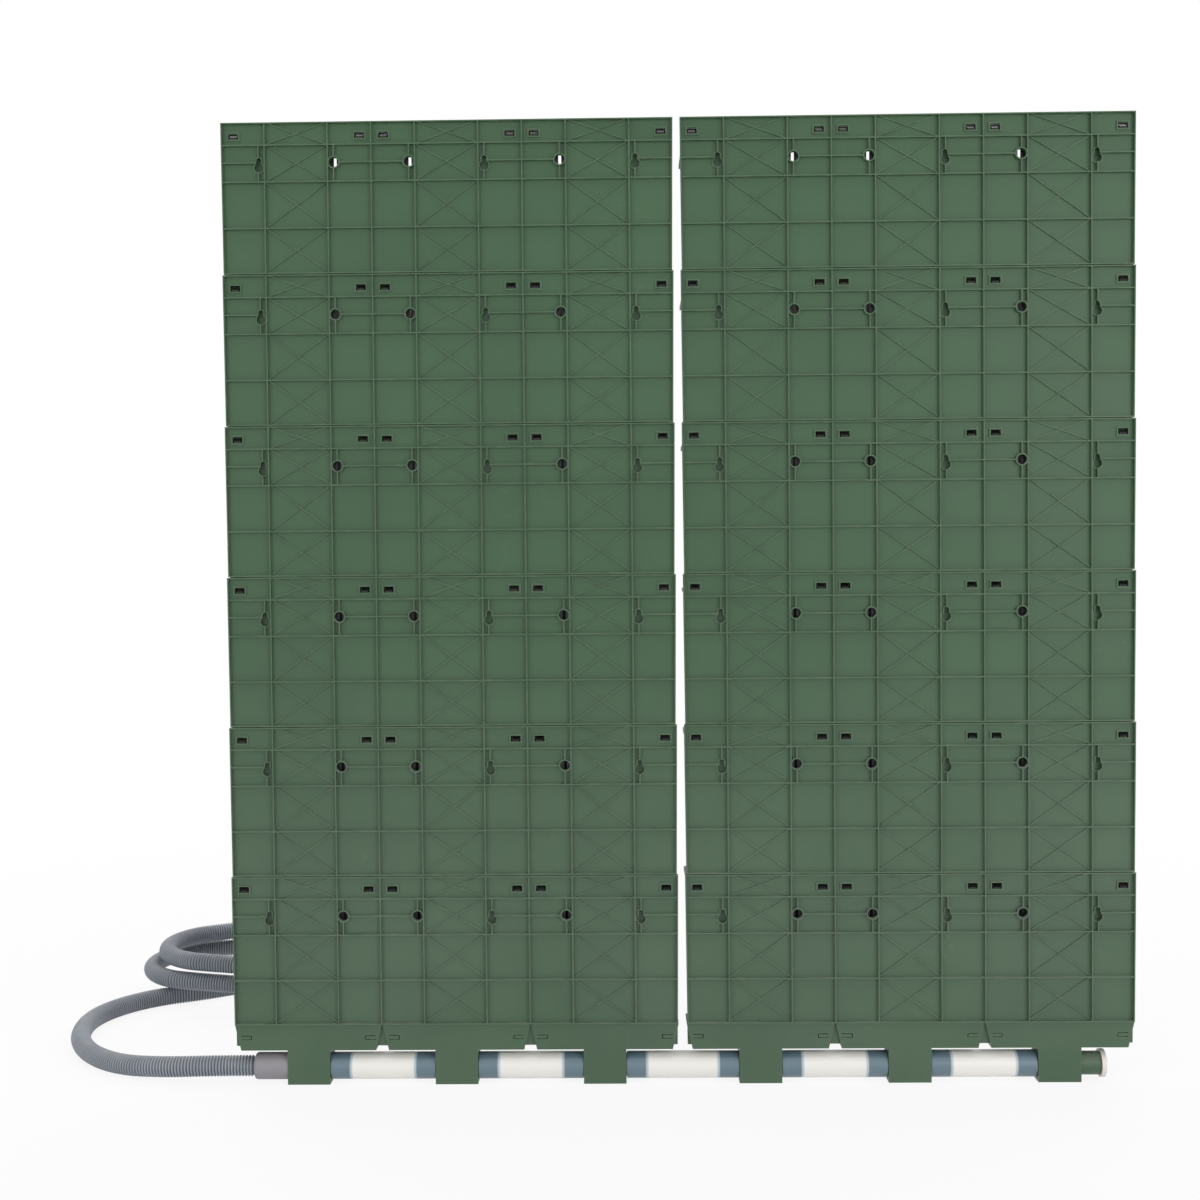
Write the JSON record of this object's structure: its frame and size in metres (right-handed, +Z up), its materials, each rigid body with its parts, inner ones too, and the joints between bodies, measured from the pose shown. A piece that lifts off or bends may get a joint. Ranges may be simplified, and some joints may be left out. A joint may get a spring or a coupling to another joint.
{
  "type": "vertical wall planter",
  "caption": "Self-watering vertical wall planter: ribbed green back panels with lift-off pots, drip collectors, link pipes and a coiled drain hose.",
  "frame": {"origin": "on the wall plane, midway between the columns, at the screw seats of the top row's keyholes", "axes": "+X to the right seen from the wall side, +Y from the wall towards the pots, +Z up"},
  "size_m": [1.129, 0.4935, 0.967],
  "materials": {
    "panel_green": "moulded green polypropylene",
    "pot_black": "moulded black polypropylene",
    "pipe_clear": "translucent white tube",
    "plug_white": "pale soft plug",
    "cuff_grey": "smooth grey cuff",
    "hose_grey": "grey corrugated hose"
  },
  "bodies": {
    "frame": {"panel_left_1": "panel_green", "panel_left_2": "panel_green", "panel_left_3": "panel_green", "panel_left_4": "panel_green", "panel_left_5": "panel_green", "panel_left_6": "panel_green", "panel_right_1": "panel_green", "panel_right_2": "panel_green", "panel_right_3": "panel_green", "panel_right_4": "panel_green", "panel_right_5": "panel_green", "panel_right_6": "panel_green", "collector_1": "panel_green", "collector_2": "panel_green", "collector_3": "panel_green", "collector_4": "panel_green", "collector_5": "panel_green", "collector_6": "panel_green", "link_pipes": "pipe_clear", "hose_cuff": "cuff_grey", "hose_run": "hose_grey", "hose_coil": "hose_grey", "hose_end_cuff": "cuff_grey"},
    "plug": {"end_plug": "plug_white"},
    "pot_r1c1": {"pot_r1c1": "pot_black"},
    "pot_r1c2": {"pot_r1c2": "pot_black"},
    "pot_r1c3": {"pot_r1c3": "pot_black"},
    "pot_r1c4": {"pot_r1c4": "pot_black"},
    "pot_r1c5": {"pot_r1c5": "pot_black"},
    "pot_r1c6": {"pot_r1c6": "pot_black"},
    "pot_r2c1": {"pot_r2c1": "pot_black"},
    "pot_r2c2": {"pot_r2c2": "pot_black"},
    "pot_r2c3": {"pot_r2c3": "pot_black"},
    "pot_r2c4": {"pot_r2c4": "pot_black"},
    "pot_r2c5": {"pot_r2c5": "pot_black"},
    "pot_r2c6": {"pot_r2c6": "pot_black"},
    "pot_r3c1": {"pot_r3c1": "pot_black"},
    "pot_r3c2": {"pot_r3c2": "pot_black"},
    "pot_r3c3": {"pot_r3c3": "pot_black"},
    "pot_r3c4": {"pot_r3c4": "pot_black"},
    "pot_r3c5": {"pot_r3c5": "pot_black"},
    "pot_r3c6": {"pot_r3c6": "pot_black"},
    "pot_r4c1": {"pot_r4c1": "pot_black"},
    "pot_r4c2": {"pot_r4c2": "pot_black"},
    "pot_r4c3": {"pot_r4c3": "pot_black"},
    "pot_r4c4": {"pot_r4c4": "pot_black"},
    "pot_r4c5": {"pot_r4c5": "pot_black"},
    "pot_r4c6": {"pot_r4c6": "pot_black"},
    "pot_r5c1": {"pot_r5c1": "pot_black"},
    "pot_r5c2": {"pot_r5c2": "pot_black"},
    "pot_r5c3": {"pot_r5c3": "pot_black"},
    "pot_r5c4": {"pot_r5c4": "pot_black"},
    "pot_r5c5": {"pot_r5c5": "pot_black"},
    "pot_r5c6": {"pot_r5c6": "pot_black"},
    "pot_r6c1": {"pot_r6c1": "pot_black"},
    "pot_r6c2": {"pot_r6c2": "pot_black"},
    "pot_r6c3": {"pot_r6c3": "pot_black"},
    "pot_r6c4": {"pot_r6c4": "pot_black"},
    "pot_r6c5": {"pot_r6c5": "pot_black"},
    "pot_r6c6": {"pot_r6c6": "pot_black"}
  },
  "joints": [
    {"name": "plug_pull", "type": "slide", "parent": "frame", "child": "plug", "axis": [1, 0, 0], "range_m": [0, 0.03]},
    {"name": "lift_r1c1", "type": "slide", "parent": "frame", "child": "pot_r1c1", "axis": [0, 0.9063, 0.4226], "range_m": [0, 0.16]},
    {"name": "lift_r1c2", "type": "slide", "parent": "frame", "child": "pot_r1c2", "axis": [0, 0.9063, 0.4226], "range_m": [0, 0.16]},
    {"name": "lift_r1c3", "type": "slide", "parent": "frame", "child": "pot_r1c3", "axis": [0, 0.9063, 0.4226], "range_m": [0, 0.16]},
    {"name": "lift_r1c4", "type": "slide", "parent": "frame", "child": "pot_r1c4", "axis": [0, 0.9063, 0.4226], "range_m": [0, 0.16]},
    {"name": "lift_r1c5", "type": "slide", "parent": "frame", "child": "pot_r1c5", "axis": [0, 0.9063, 0.4226], "range_m": [0, 0.16]},
    {"name": "lift_r1c6", "type": "slide", "parent": "frame", "child": "pot_r1c6", "axis": [0, 0.9063, 0.4226], "range_m": [0, 0.16]},
    {"name": "lift_r2c1", "type": "slide", "parent": "frame", "child": "pot_r2c1", "axis": [0, 0.9063, 0.4226], "range_m": [0, 0.16]},
    {"name": "lift_r2c2", "type": "slide", "parent": "frame", "child": "pot_r2c2", "axis": [0, 0.9063, 0.4226], "range_m": [0, 0.16]},
    {"name": "lift_r2c3", "type": "slide", "parent": "frame", "child": "pot_r2c3", "axis": [0, 0.9063, 0.4226], "range_m": [0, 0.16]},
    {"name": "lift_r2c4", "type": "slide", "parent": "frame", "child": "pot_r2c4", "axis": [0, 0.9063, 0.4226], "range_m": [0, 0.16]},
    {"name": "lift_r2c5", "type": "slide", "parent": "frame", "child": "pot_r2c5", "axis": [0, 0.9063, 0.4226], "range_m": [0, 0.16]},
    {"name": "lift_r2c6", "type": "slide", "parent": "frame", "child": "pot_r2c6", "axis": [0, 0.9063, 0.4226], "range_m": [0, 0.16]},
    {"name": "lift_r3c1", "type": "slide", "parent": "frame", "child": "pot_r3c1", "axis": [0, 0.9063, 0.4226], "range_m": [0, 0.16]},
    {"name": "lift_r3c2", "type": "slide", "parent": "frame", "child": "pot_r3c2", "axis": [0, 0.9063, 0.4226], "range_m": [0, 0.16]},
    {"name": "lift_r3c3", "type": "slide", "parent": "frame", "child": "pot_r3c3", "axis": [0, 0.9063, 0.4226], "range_m": [0, 0.16]},
    {"name": "lift_r3c4", "type": "slide", "parent": "frame", "child": "pot_r3c4", "axis": [0, 0.9063, 0.4226], "range_m": [0, 0.16]},
    {"name": "lift_r3c5", "type": "slide", "parent": "frame", "child": "pot_r3c5", "axis": [0, 0.9063, 0.4226], "range_m": [0, 0.16]},
    {"name": "lift_r3c6", "type": "slide", "parent": "frame", "child": "pot_r3c6", "axis": [0, 0.9063, 0.4226], "range_m": [0, 0.16]},
    {"name": "lift_r4c1", "type": "slide", "parent": "frame", "child": "pot_r4c1", "axis": [0, 0.9063, 0.4226], "range_m": [0, 0.16]},
    {"name": "lift_r4c2", "type": "slide", "parent": "frame", "child": "pot_r4c2", "axis": [0, 0.9063, 0.4226], "range_m": [0, 0.16]},
    {"name": "lift_r4c3", "type": "slide", "parent": "frame", "child": "pot_r4c3", "axis": [0, 0.9063, 0.4226], "range_m": [0, 0.16]},
    {"name": "lift_r4c4", "type": "slide", "parent": "frame", "child": "pot_r4c4", "axis": [0, 0.9063, 0.4226], "range_m": [0, 0.16]},
    {"name": "lift_r4c5", "type": "slide", "parent": "frame", "child": "pot_r4c5", "axis": [0, 0.9063, 0.4226], "range_m": [0, 0.16]},
    {"name": "lift_r4c6", "type": "slide", "parent": "frame", "child": "pot_r4c6", "axis": [0, 0.9063, 0.4226], "range_m": [0, 0.16]},
    {"name": "lift_r5c1", "type": "slide", "parent": "frame", "child": "pot_r5c1", "axis": [0, 0.9063, 0.4226], "range_m": [0, 0.16]},
    {"name": "lift_r5c2", "type": "slide", "parent": "frame", "child": "pot_r5c2", "axis": [0, 0.9063, 0.4226], "range_m": [0, 0.16]},
    {"name": "lift_r5c3", "type": "slide", "parent": "frame", "child": "pot_r5c3", "axis": [0, 0.9063, 0.4226], "range_m": [0, 0.16]},
    {"name": "lift_r5c4", "type": "slide", "parent": "frame", "child": "pot_r5c4", "axis": [0, 0.9063, 0.4226], "range_m": [0, 0.16]},
    {"name": "lift_r5c5", "type": "slide", "parent": "frame", "child": "pot_r5c5", "axis": [0, 0.9063, 0.4226], "range_m": [0, 0.16]},
    {"name": "lift_r5c6", "type": "slide", "parent": "frame", "child": "pot_r5c6", "axis": [0, 0.9063, 0.4226], "range_m": [0, 0.16]},
    {"name": "lift_r6c1", "type": "slide", "parent": "frame", "child": "pot_r6c1", "axis": [0, 0.9063, 0.4226], "range_m": [0, 0.16]},
    {"name": "lift_r6c2", "type": "slide", "parent": "frame", "child": "pot_r6c2", "axis": [0, 0.9063, 0.4226], "range_m": [0, 0.16]},
    {"name": "lift_r6c3", "type": "slide", "parent": "frame", "child": "pot_r6c3", "axis": [0, 0.9063, 0.4226], "range_m": [0, 0.16]},
    {"name": "lift_r6c4", "type": "slide", "parent": "frame", "child": "pot_r6c4", "axis": [0, 0.9063, 0.4226], "range_m": [0, 0.16]},
    {"name": "lift_r6c5", "type": "slide", "parent": "frame", "child": "pot_r6c5", "axis": [0, 0.9063, 0.4226], "range_m": [0, 0.16]},
    {"name": "lift_r6c6", "type": "slide", "parent": "frame", "child": "pot_r6c6", "axis": [0, 0.9063, 0.4226], "range_m": [0, 0.16]}
  ]
}
